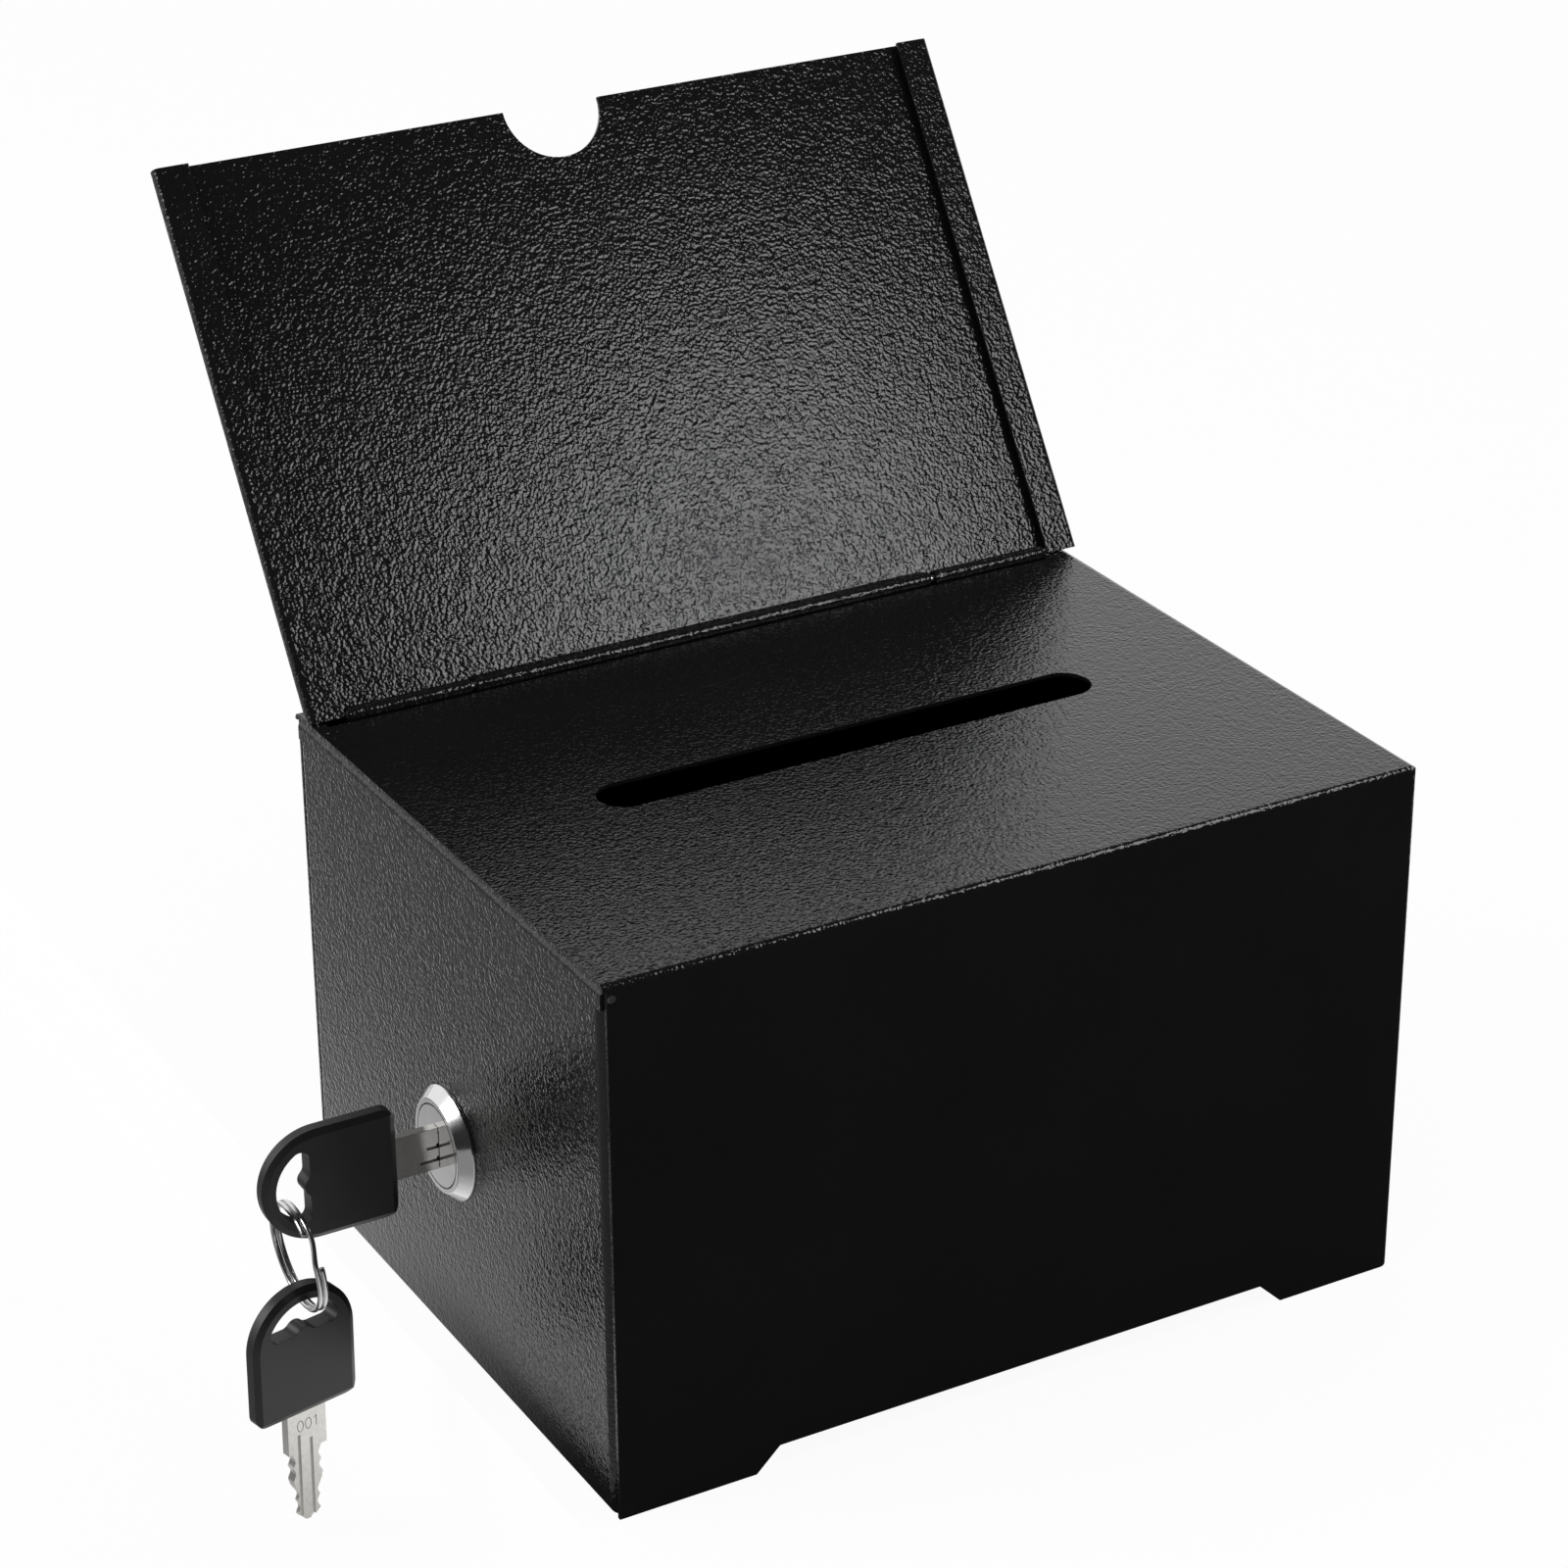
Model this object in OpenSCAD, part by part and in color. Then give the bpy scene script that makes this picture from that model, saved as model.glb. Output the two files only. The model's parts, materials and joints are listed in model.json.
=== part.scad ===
// A small lockable sheet steel suggestion box with a folding card header, a paper slot,
// an end door on a hidden pin, a wafer cam lock, and two keys on a split ring.
// Millimetres. X runs along the front, Y to the back, Z up. The origin is the middle of the footprint.

/* [Box] */
// Width from the door face to the closed end
box_w = 160; // [140:1:190]
// Depth from the front face to the back face
box_d = 119; // [104:0.5:130]
// Height from the table to the top face
box_h = 101.7; // [92:0.1:115]
// Sheet thickness
sheet_t = 0.8; // [0.75:0.05:0.9]
// Outer bend radius along the front and back edges of the top
top_bend = 1.3; // [1.2:0.05:1.5]
// Outer bend radius of the closed end
end_bend = 2.2; // [2:0.1:2.6]

/* [Paper slot] */
// Overall length of the slot
slot_l = 99.5; // [80:0.5:120]
// Width of the slot, also the diameter of its round ends
slot_w = 10; // [8:0.5:14]
// Sideways place of the slot's middle
slot_x = 0; // [-6:0.5:6]
// Place of the slot's middle from the box centre to the back
slot_y = 0; // [-6:0.5:8]

/* [Feet] */
// Width of the foot cut-out at its top
foot_gap_top = 99.4; // [80:0.2:104]
// Width of the foot cut-out at the table
foot_gap_low = 108.6; // [104:0.2:116]
// Height of the foot cut-out
foot_gap_h = 4.4; // [3:0.1:4.4]
// Sideways place of the foot cut-out's middle
foot_gap_x = 1.2; // [0:0.1:2]

/* [Header] */
// Height of the card header along its own plate
header_h = 103.6; // [90:0.1:108]
// Backward lean of the header from upright, in degrees
header_lean = 33.6; // [32:0.1:37]
// Width of the header across its channels
header_w = 161.6; // [160:0.2:163]
// Sideways offset of the header from the box's middle
header_x = 0.5; // [0:0.1:1]
// Distance of the header's hinge from the back face
header_back = 7.3; // [6.6:0.1:9]
// Depth of the side channels over the sheet
channel_d = 3; // [2.9:0.1:3.6]
// Width of the channel lips
channel_lip = 6.7; // [5:0.1:8]
// Radius of the thumb notch
notch_r = 9.9; // [7:0.1:12]
// Outer bend radius of the channels
channel_bend = 1.1; // [1:0.05:1.3]

/* [Header hinge] */
// Radius of the header's hinge pin
header_pin_r = 0.6; // [0.6:0.05:0.7]
// Half width of the header's middle knuckle
tongue_half = 47.8; // [40:0.5:52]
// Gap between the side knuckles and the header's channel lips
leaf_side_gap = 0.5; // [0.4:0.1:4]
// Height of the pin's centre over the top face
header_pin_rise = 0.6; // [0.55:0.05:0.75]

/* [Door] */
// Outer bend radius of the door's upright edges
door_bend = 2; // [1.8:0.1:2.4]
// Depth of the door's side flanges
door_flange = 9; // [7:0.5:11]
// Radius of the door's hinge pin
door_pin_r = 0.75; // [0.7:0.05:0.85]

/* [Lock] */
// Place of the lock's centre from the box centre to the back
lock_y = 1; // [-6:0.2:8]
// Height of the lock's centre
lock_z = 42.6; // [38:0.2:48]
// Diameter of the bright trim cap
trim_d = 21.1; // [20.6:0.1:22]
// Stand-off of the trim cap from the door
trim_proud = 2.6; // [2.5:0.1:3]
// Width of the cam
cam_w = 13; // [11.5:0.5:14]
// Engagement of the cam behind the strike
cam_catch = 5.8; // [4:0.1:6.5]

/* [Keys] */
// Length of the key head
key_head_l = 25.3; // [24.5:0.1:27]
// Width of the key head, also twice its end radius
key_head_w = 21.4; // [21:0.1:22.4]
// Thickness of the key head
key_head_t = 3.4; // [3:0.1:3.7]
// Width of the round rim beside the key head's hole
key_rim = 2.5; // [2.35:0.05:2.6]
// Length of the full-width neck between head and lock
key_neck_l = 8.1; // [7.4:0.1:9]
// Width of the neck
key_neck_w = 8.2; // [7.8:0.1:8.8]
// Sideways turn of the hanging key, in degrees
spare_yaw = 12; // [8:1:16]
// Lean of the hanging key, in degrees
spare_lean = 1; // [0:0.5:3]

/* [Split ring] */
// Radius to the middle of the wire
ring_r = 9.7; // [9.2:0.1:10.4]
// Radius of the wire
ring_wire_r = 0.475; // [0.42:0.005:0.475]
// Lean of the ring, in degrees
ring_tilt = 5; // [2:0.5:6]

/* [Hidden] */
$fn = 96;
// General gap between pieces that move past each other
move_gap = 0.3;
// Running gap between a pin and its bore
pin_gap = 0.05;
// Gap between a pressed pin and the sheet that holds it
press_gap = 0.01;
// Overrun of every cut
over = 1;

half_w = box_w / 2;
half_d = box_d / 2;
inner_w = half_w - sheet_t;
inner_d = half_d - sheet_t;
top_under = box_h - sheet_t;
inner_top_bend = top_bend - sheet_t;
inner_end_bend = end_bend - sheet_t;

// Cut back of the front and back walls beside the door
wall_setback = 0.6;
wall_cut_x = -half_w + wall_setback;

// Door
door_half = inner_d - move_gap;
roll_r = door_pin_r + pin_gap + sheet_t;
door_axis_x = -half_w + roll_r;
door_axis_z = top_under - move_gap - roll_r;
door_low = 0.4;
door_low_bend = 1.2;
door_low_flange = 7.5;
flange_trim = 0.6;
door_flange_top = door_axis_z - roll_r - flange_trim;
door_inner_x = -half_w + sheet_t;

// Floor plate
base_low = 4.6;
base_top = base_low + sheet_t;
base_lip = 8;
base_notch = 3;
base_door_gap = 0.4;

// Strike
strike_h = 8.6;
strike_foot = 14;
strike_half = 15;

// Header hinge and header
knuckle_r = header_pin_r + pin_gap + sheet_t;
header_axis_y = half_d - header_back;
header_axis_z = box_h + header_pin_rise;
knuckle_gap = 1.1;
header_left = header_x - header_w / 2;
header_right = header_x + header_w / 2;
leaf_half = min(header_right - channel_lip, -header_left - channel_lip) - leaf_side_gap;
leaf_ear_y = header_axis_y + knuckle_r - sheet_t;
hinge_slot_front = header_axis_y - knuckle_r - move_gap;
hinge_slot_back = header_axis_y + knuckle_r + move_gap;
hinge_slot_half = leaf_half + move_gap;
hinge_slot_more = 4;
leaf_bend_gap = 0.3;
leaf_back = inner_d - inner_top_bend - leaf_bend_gap;
lip_front = 0.35;
plate_back = channel_d - lip_front;
plate_front = plate_back - sheet_t;
lip_back = -lip_front + sheet_t;
rest_gap = 0.32;
lip_drop = 0.3;
rest_u = box_h + rest_gap - header_axis_z;
function rest_line(y) = (rest_u + y * sin(header_lean)) / cos(header_lean);
web_bite = 0.15;
web_end = plate_back - sheet_t / 2;
web_low = rest_line(web_end) + web_bite;
lip_flat_y = (-rest_u - lip_drop * cos(header_lean)) / sin(header_lean);
notch_drop = 0.3;

// Lock along its axis, from the door face inward
lock_body_r = 8;
lock_flat = 6.75;
lock_flange_r = 9.2;
lock_flange_t = 0.6;
lock_boss_t = 1;
lock_barrel_l = 20;
lock_bore_r = 5.55;
plug_r = 5.5;
trim_wall = 0.8;
trim_rim = 0.5;
trim_face_r = 8.6;
trim_bore_r = 7.75;
trim_shoulder = 0.6;
plug_head_r = 6.7;
plug_cap_r = 7.5;
plug_skirt_r = 6.95;
counterbore_r = 7.1;
cap_t = 0.45;
cap_disc_t = 0.6;
lock_face_x = -half_w - trim_proud;
boss_x = -half_w - lock_flange_t - lock_boss_t;
counter_x = -half_w - sheet_t;
counter_seat = 0.05;
barrel_end_x = -half_w + lock_barrel_l;
hole_gap = 0.15;
washer_r = 11;
nut_flat = 10;
nut_t = 3.5;
thread_gap = 0.05;
wafer_groove_r = 6.7;
stop_rim_r = 6.1;
stop_disc_r = 5.9;
stop_tab_r = 7.7;
stop_tab_w = 3;
stop_t = 1;
stack_gap = 0.05;
stop_wall = 1.05;
tab_half_angle = 15;
key_turn = 90;
tang_half = 3.5;
tang_hole_half = 3.55;
cam_t = 1.6;
cam_washer_r = 5.6;
cam_washer_t = 0.8;
cam_tip_round = 2;
screw_r = 2;
screw_head_r = 3.6;
screw_head_t = 2.4;
screw_slot_w = 0.9;
screw_slot_d = 1.2;
screw_reach = 3.2;
screw_gap = 0.05;
stop_x = barrel_end_x + stack_gap;
cam_x = barrel_end_x + stop_wall + stack_gap + stack_gap;
cam_washer_x = cam_x + cam_t;
screw_x = cam_washer_x + cam_washer_t;
tang_end_x = cam_washer_x - stack_gap;
strike_x = cam_x - move_gap;
cam_reach = lock_z - base_top - strike_h + cam_catch;

// Keyway, wafers and springs
key_t = 1.8;
key_blade_w = 6.6;
key_blade_l = 14.4;
keyway_side_gap = 0.1;
keyway_half_t = key_t / 2 + keyway_side_gap;
keyway_half_w = key_blade_w / 2 + keyway_side_gap;
keyway_end_x = barrel_end_x - screw_gap - sheet_t;
cap_slot_half_t = keyway_half_t + keyway_side_gap;
cap_slot_half_w = keyway_half_w + keyway_side_gap;
wafer_count = 4;
wafer_t = 0.8;
wafer_slot_t = 0.9;
wafer_r = 5.4;
wafer_half = 3.7;
wafer_slot_half = 3.8;
wafer_window_t = 1.25;
wafer_window_w = 3.7;
wafer_step_y = 1.9;
wafer_step_z = 1.3;
spring_y = 2.8;
spring_r = 0.5;
spring_wire_r = 0.12;
spring_turns = 4;
spring_pocket_r = 0.85;
spring_low_z = -1.9;
spring_end_gap = 0.04;
spring_rise = (wafer_step_z - spring_low_z - 2 * (spring_wire_r + spring_end_gap)) / spring_turns;

// Keys
key_seat_gap = 0.05;
key_stop_x = lock_face_x - key_seat_gap;
key_round_r = key_head_w / 2;
key_corner_r = 2.5;
key_bevel = 1.1;
key_bevel_t = 0.7;
key_tang_l = 12;
key_centre = key_neck_l + key_head_l - key_round_r;
hole_r = key_round_r - key_rim;
hole_base = 1.8;
hole_end_r = 1.7;
hole_bump_r = 1.9;
hole_bump_rise = 1.1;
hole_fillet_r = 1.7;
hole_end_w = sqrt(pow(hole_r - hole_end_r, 2) - pow(hole_base + hole_end_r, 2));
groove_w = 0.9;
groove_d = 0.45;
groove_at_shares = [0.02, -0.37];
groove_start = 2.2;
groove_step = 1.4;
cut_first = 1.6;
cut_pitch = 2.5;
cut_max = 1.8;
cut_flat = 0.5;
cut_slope = 2;
cut_shares = [0.61, 0.56, 0.28, 0.86, 0.94];
low_cut_shares = [0.28, 0.28, 0.11, 0.72, 0.83];
tip_run = 2.2;
tip_drop = 2.4;
tip_skew = 0.3;

// Split ring, hung in the key's hole, and the hanging key
wire_pitch_gap = 0.42;
ring_pitch = 2 * ring_wire_r + wire_pitch_gap;
hang_clear = 1.612;
hang_r = hole_r - hang_clear;
ring_hang_angle = 40.2;
ring_y = lock_y;
ring_top = [key_stop_x - key_centre - hang_r * cos(ring_hang_angle),
            ring_y,
            lock_z - hang_r * sin(ring_hang_angle)];
ring_low = ring_top + 2 * ring_r * [sin(ring_tilt), 0, -cos(ring_tilt)];
ring_gap_mid = 33;
ring_gap_half = 18;
ring_steps = 24;
ring_turns = 2;
spring_steps = 8;
spare_clear = 1.5;
spare_hang_r = hole_r - spare_clear;
spare_hang_angle = 76;
spare_hang = [-key_centre - spare_hang_r * sin(spare_hang_angle),
              0,
              spare_hang_r * cos(spare_hang_angle)];

// Outlines

// Rectangle from [x0, y0] to [x1, y1] with its two far corners in X rounded
module end_round_rect(x0, x1, y0, y1, r) {
  translate([x0, y0]) square([x1 - x0 - r, y1 - y0]);
  translate([x0, y0 + r]) square([x1 - x0, y1 - y0 - 2 * r]);
  for (y = [y0 + r, y1 - r]) translate([x1 - r, y]) circle(r = r);
}

// Rectangle with its two upper corners rounded
module top_round_rect(x0, x1, y0, y1, r) {
  translate([x0, y0]) square([x1 - x0, y1 - y0 - r]);
  translate([x0 + r, y0]) square([x1 - x0 - 2 * r, y1 - y0]);
  for (x = [x0 + r, x1 - r]) translate([x, y1 - r]) circle(r = r);
}

// Rectangle with only its upper right corner rounded
module corner_round_rect(x0, x1, y0, y1, r) {
  translate([x0, y0]) square([x1 - x0, y1 - y0 - r]);
  translate([x0, y0]) square([x1 - x0 - r, y1 - y0]);
  translate([x1 - r, y1 - r]) circle(r = r);
}

// Rectangle with all corners rounded
module round_rect(x0, x1, y0, y1, r) {
  translate([x0 + r, y0]) square([x1 - x0 - 2 * r, y1 - y0]);
  translate([x0, y0 + r]) square([x1 - x0, y1 - y0 - 2 * r]);
  for (x = [x0 + r, x1 - r]) for (y = [y0 + r, y1 - r]) translate([x, y]) circle(r = r);
}

// Extrusion of an outline drawn in Y and Z, along X
module along_x(x0, x1) {
  translate([x0, 0, 0]) rotate([90, 0, 90]) linear_extrude(x1 - x0) children();
}

// Extrusion of an outline drawn in X and Z, along Y
module along_y(y0, y1) {
  translate([0, y1, 0]) rotate([90, 0, 0]) linear_extrude(y1 - y0) children();
}

// Round bar or bore along X
module rod_x(x0, x1, r) {
  translate([x0, 0, 0]) rotate([0, 90, 0]) cylinder(h = x1 - x0, r = r);
}

// Round bar or bore along Y
module rod_y(y0, y1, r) {
  translate([0, y1, 0]) rotate([90, 0, 0]) cylinder(h = y1 - y0, r = r);
}

// Block between two corners
module block(a, b) {
  translate(a) cube(b - a);
}

// Unbroken round wire wound about Z: one ring of points for each angle and height
module wire(angles, heights, mean_r, wire_r) {
  sides = 6;
  count = len(angles);
  points = [for (i = [0 : count - 1]) for (k = [0 : sides - 1])
    [(mean_r + wire_r * cos(360 * k / sides)) * cos(angles[i]),
     (mean_r + wire_r * cos(360 * k / sides)) * sin(angles[i]),
     heights[i] + wire_r * sin(360 * k / sides)]];
  walls = [for (i = [0 : count - 2]) for (k = [0 : sides - 1]) for (half = [0, 1])
    half == 0
      ? [i * sides + k, i * sides + (k + 1) % sides, (i + 1) * sides + (k + 1) % sides]
      : [i * sides + k, (i + 1) * sides + (k + 1) % sides, (i + 1) * sides + k]];
  first = [[for (k = [sides - 1 : -1 : 0]) k]];
  last = [[for (k = [0 : sides - 1]) (count - 1) * sides + k]];
  polyhedron(points = points, faces = concat(walls, first, last), convexity = 6);
}

// Smallest free space between turns of a wire, measured on the points of its middle line
function self_gap(angles, heights, mean_r, wire_r) =
  min([for (i = [0 : len(angles) - 1]) for (j = [0 : len(angles) - 1])
    if (j > i && angles[j] - angles[i] > 90)
      norm([mean_r * (cos(angles[j]) - cos(angles[i])),
            mean_r * (sin(angles[j]) - sin(angles[i])),
            heights[j] - heights[i]])]) - 2 * wire_r;

// Box

module shell_outer() {
  intersection() {
    linear_extrude(box_h) end_round_rect(-half_w, half_w, -half_d, half_d, end_bend);
    along_x(-half_w, half_w) top_round_rect(-half_d, half_d, 0, box_h, top_bend);
    along_y(-half_d, half_d) corner_round_rect(-half_w, half_w, 0, box_h, end_bend);
  }
}

module shell_inner() {
  intersection() {
    translate([0, 0, -over]) linear_extrude(top_under + over)
      end_round_rect(-half_w - over, inner_w, -inner_d, inner_d, inner_end_bend);
    along_x(-half_w - over, inner_w)
      top_round_rect(-inner_d, inner_d, -over, top_under, inner_top_bend);
    along_y(-inner_d, inner_d)
      corner_round_rect(-half_w - over, inner_w, -over, top_under, inner_end_bend);
  }
}

module slot_cut() {
  straight = slot_l - slot_w;
  translate([slot_x, slot_y, top_under - over]) {
    block([-straight / 2, -slot_w / 2, 0], [straight / 2, slot_w / 2, sheet_t + 2 * over]);
    for (s = [-1, 1]) translate([s * straight / 2, 0, 0])
      cylinder(h = sheet_t + 2 * over, r = slot_w / 2);
  }
}

module foot_cut() {
  slope = (foot_gap_low - foot_gap_top) / foot_gap_h / 2;
  along_y(-half_d - over, half_d + over) translate([foot_gap_x, 0])
    polygon([[-foot_gap_low / 2 - over * slope, -over], [foot_gap_low / 2 + over * slope, -over],
             [foot_gap_top / 2, foot_gap_h], [-foot_gap_top / 2, foot_gap_h]]);
}

module body_shell() {
  color([0.08, 0.08, 0.08]) difference() {
    shell_outer();
    shell_inner();
    slot_cut();
    foot_cut();
    // Front and back walls cut back beside the door's upright bends
    block([-half_w - over, -half_d - over, -over], [wall_cut_x, half_d + over, box_h - top_bend]);
    // Slot for the hinge knuckles in the top
    block([-hinge_slot_half - hinge_slot_more, hinge_slot_front, top_under - over],
          [hinge_slot_half, hinge_slot_back, box_h + over]);
    // Holes for the door's hinge pin
    translate([door_axis_x, 0, door_axis_z])
      rod_y(-half_d - over, half_d + over, door_pin_r + press_gap);
  }
}

module bottom_plate() {
  lip_start = -half_w + door_flange + base_door_gap;
  flange_clear = door_half - sheet_t - base_door_gap;
  notch_x = inner_w - base_notch;
  color([0.1, 0.1, 0.1]) union() {
    block([lip_start, -inner_d, base_low], [notch_x, inner_d, base_top]);
    block([notch_x, -inner_d + base_notch, base_low], [inner_w, inner_d - base_notch, base_top]);
    block([door_inner_x + base_door_gap, -flange_clear, base_low], [lip_start, flange_clear, base_top]);
    block([lip_start, -inner_d, base_low], [notch_x, -inner_d + sheet_t, base_low + base_lip]);
    block([lip_start, inner_d - sheet_t, base_low], [notch_x, inner_d, base_low + base_lip]);
    block([inner_w - sheet_t, -inner_d + base_notch, base_low],
          [inner_w, inner_d - base_notch, base_low + base_lip]);
  }
}

module strike_bracket() {
  color([0.1, 0.1, 0.1]) translate([0, lock_y, 0]) union() {
    block([strike_x - sheet_t, -strike_half, base_top], [strike_x, strike_half, base_top + strike_h]);
    block([strike_x - strike_foot, -strike_half, base_top], [strike_x, strike_half, base_top + sheet_t]);
  }
}

module door_hinge_pin() {
  color([0.7, 0.7, 0.7]) translate([door_axis_x, 0, door_axis_z]) rod_y(-half_d, half_d, door_pin_r);
}

module header_hinge_leaf() {
  color([0.08, 0.08, 0.08]) difference() {
    union() {
      block([-leaf_half, hinge_slot_back, top_under - sheet_t], [leaf_half, leaf_back, top_under]);
      for (s = [0, 1]) mirror([s, 0, 0]) {
        block([tongue_half + knuckle_gap, leaf_ear_y, top_under - sheet_t],
              [leaf_half, leaf_back, top_under]);
        block([tongue_half + knuckle_gap, leaf_ear_y, top_under - sheet_t],
              [leaf_half, leaf_ear_y + sheet_t, header_axis_z]);
        translate([0, header_axis_y, header_axis_z])
          rod_x(tongue_half + knuckle_gap, leaf_half, knuckle_r);
      }
    }
    translate([0, header_axis_y, header_axis_z])
      rod_x(-leaf_half - over, leaf_half + over, header_pin_r + press_gap);
  }
}

module header_hinge_pin() {
  color([0.7, 0.7, 0.7]) translate([0, header_axis_y, header_axis_z])
    rod_x(-leaf_half, leaf_half, header_pin_r);
}

// Header, drawn upright with its hinge axis on X: Z runs up the plate and Y to the back
module header_upright() {
  difference() {
    union() {
      difference() {
        translate([0, 0, -lip_drop]) linear_extrude(header_h + lip_drop) difference() {
          round_rect(header_left, header_right, -lip_front, plate_back, channel_bend);
          round_rect(header_left + sheet_t, header_right - sheet_t, lip_back, plate_front,
                     channel_bend - sheet_t);
          translate([header_left + channel_lip, -lip_front - over])
            square([header_w - 2 * channel_lip, lip_back + lip_front + over + channel_bend - sheet_t]);
        }
        // Lower edge level with the top of the box
        along_x(header_left - over, header_right + over)
          polygon([[lip_flat_y, -lip_drop], [plate_back + over, rest_line(plate_back + over)],
                   [plate_back + over, -lip_drop - over], [lip_flat_y, -lip_drop - over]]);
      }
      along_x(-tongue_half, tongue_half)
        polygon([[0, knuckle_r - sheet_t + web_bite], [0, knuckle_r - web_bite],
                 [web_end, web_low + sheet_t], [web_end, web_low]]);
      rod_x(-tongue_half, tongue_half, knuckle_r);
    }
    rod_x(-tongue_half - over, tongue_half + over, header_pin_r + pin_gap);
    translate([0, 0, header_h - notch_drop]) rod_y(-over, plate_back + over, notch_r);
  }
}

module header_panel() {
  color([0.08, 0.08, 0.08])
    translate([0, header_axis_y, header_axis_z]) rotate([-header_lean, 0, 0]) header_upright();
}

// Door

module door_pan_outer() {
  intersection() {
    mirror([1, 0, 0]) linear_extrude(box_h)
      end_round_rect(half_w - door_flange, half_w, -door_half, door_half, door_bend);
    mirror([0, 0, 1]) mirror([1, 0, 0]) along_y(-door_half, door_half)
      corner_round_rect(half_w - door_flange, half_w, -door_axis_z, -door_low, door_low_bend);
  }
}

module door_pan_inner() {
  intersection() {
    mirror([1, 0, 0]) linear_extrude(box_h)
      end_round_rect(half_w - door_flange - over, half_w - sheet_t,
                     -door_half + sheet_t, door_half - sheet_t, door_bend - sheet_t);
    mirror([0, 0, 1]) mirror([1, 0, 0]) along_y(-door_half, door_half)
      corner_round_rect(half_w - door_flange - over, half_w - sheet_t,
                        -door_axis_z - over, -door_low - sheet_t, door_low_bend - sheet_t);
  }
}

module lock_outline(r, flat) {
  intersection() {
    circle(r = r);
    square([2 * flat, 3 * r], center = true);
  }
}

module door_panel() {
  color([0.08, 0.08, 0.08]) difference() {
    union() {
      difference() {
        door_pan_outer();
        door_pan_inner();
        // Side flanges end under the rolled edge
        block([door_inner_x, -door_half - over, door_flange_top],
              [-half_w + door_flange + over, door_half + over, box_h]);
        // Upright bends end there too, so that the roll runs the full width
        for (s = [-1, 1]) translate([0, s * door_half, 0])
          block([-half_w - over, -door_bend, door_flange_top],
                [-half_w + door_flange, door_bend, box_h]);
        // Bottom flange is shorter than the sides
        block([-half_w + door_low_flange, -door_half + sheet_t, 0],
              [-half_w + door_flange + over, door_half - sheet_t, door_low + 2 * sheet_t]);
      }
      block([-half_w, -door_half + door_bend, door_flange_top - over],
            [door_inner_x, door_half - door_bend, door_axis_z]);
      block([-half_w, -door_half, door_flange_top], [door_inner_x, door_half, door_axis_z]);
      translate([door_axis_x, 0, door_axis_z]) rod_y(-door_half, door_half, roll_r);
    }
    translate([door_axis_x, 0, door_axis_z])
      rod_y(-door_half - over, door_half + over, door_pin_r + pin_gap);
    translate([0, lock_y, lock_z]) along_x(-half_w - over, door_inner_x + over)
      lock_outline(lock_body_r + hole_gap, lock_flat + hole_gap);
  }
}

// Lock, drawn about its axis

module at_lock() {
  translate([0, lock_y, lock_z]) children();
}

module lock_body() {
  sector_r = 2 * lock_body_r;
  color([0.72, 0.72, 0.7]) at_lock() difference() {
    union() {
      rod_x(-half_w - lock_flange_t, -half_w, lock_flange_r);
      rod_x(boss_x, -half_w, lock_body_r);
      along_x(-half_w, barrel_end_x + stop_wall) lock_outline(lock_body_r, lock_flat);
    }
    rod_x(boss_x - over, barrel_end_x + stop_wall + over, lock_bore_r);
    rod_x(boss_x - over, counter_x, counterbore_r);
    // Grooves that take the wafers when the key is out
    for (s = [0, 1]) mirror([0, 0, s]) intersection() {
      rod_x(counter_x + over, barrel_end_x + over, wafer_groove_r);
      block([counter_x + over, -wafer_slot_half, 0],
            [barrel_end_x - over, wafer_slot_half, lock_body_r]);
    }
    // Open quarter of the rear rim for the stop tab
    rod_x(barrel_end_x, barrel_end_x + stop_wall + over, stop_rim_r);
    along_x(barrel_end_x, barrel_end_x + stop_wall + over)
      polygon([[0, 0],
               sector_r * [cos(-tab_half_angle), sin(-tab_half_angle)],
               sector_r * [cos(key_turn / 2), sin(key_turn / 2)],
               sector_r * [cos(key_turn + tab_half_angle), sin(key_turn + tab_half_angle)]]);
  }
}

module lock_trim_cap() {
  trim_r = trim_d / 2;
  color([0.85, 0.85, 0.85]) at_lock() translate([-half_w, 0, 0]) rotate([0, -90, 0])
    rotate_extrude() polygon([
      [trim_r - trim_wall, 0], [trim_r, 0], [trim_r, trim_rim], [trim_face_r, trim_proud],
      [trim_bore_r, trim_proud], [trim_bore_r, trim_proud - trim_shoulder],
      [trim_r - trim_wall, trim_rim]]);
}

module lock_washer() {
  color([0.75, 0.75, 0.75]) at_lock() difference() {
    rod_x(door_inner_x, door_inner_x + sheet_t, washer_r);
    rod_x(door_inner_x - over, door_inner_x + sheet_t + over, lock_body_r + hole_gap);
  }
}

module lock_nut() {
  nut_x = door_inner_x + sheet_t;
  color([0.75, 0.75, 0.75]) at_lock() difference() {
    along_x(nut_x, nut_x + nut_t) circle(r = nut_flat / cos(30), $fn = 6);
    rod_x(nut_x - over, nut_x + nut_t + over, lock_body_r + thread_gap);
  }
}

// Each wafer stands over a cut of the key, the first cut left free
function wafer_x(i) = key_stop_x + cut_first + (i + 1) * cut_pitch;

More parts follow.
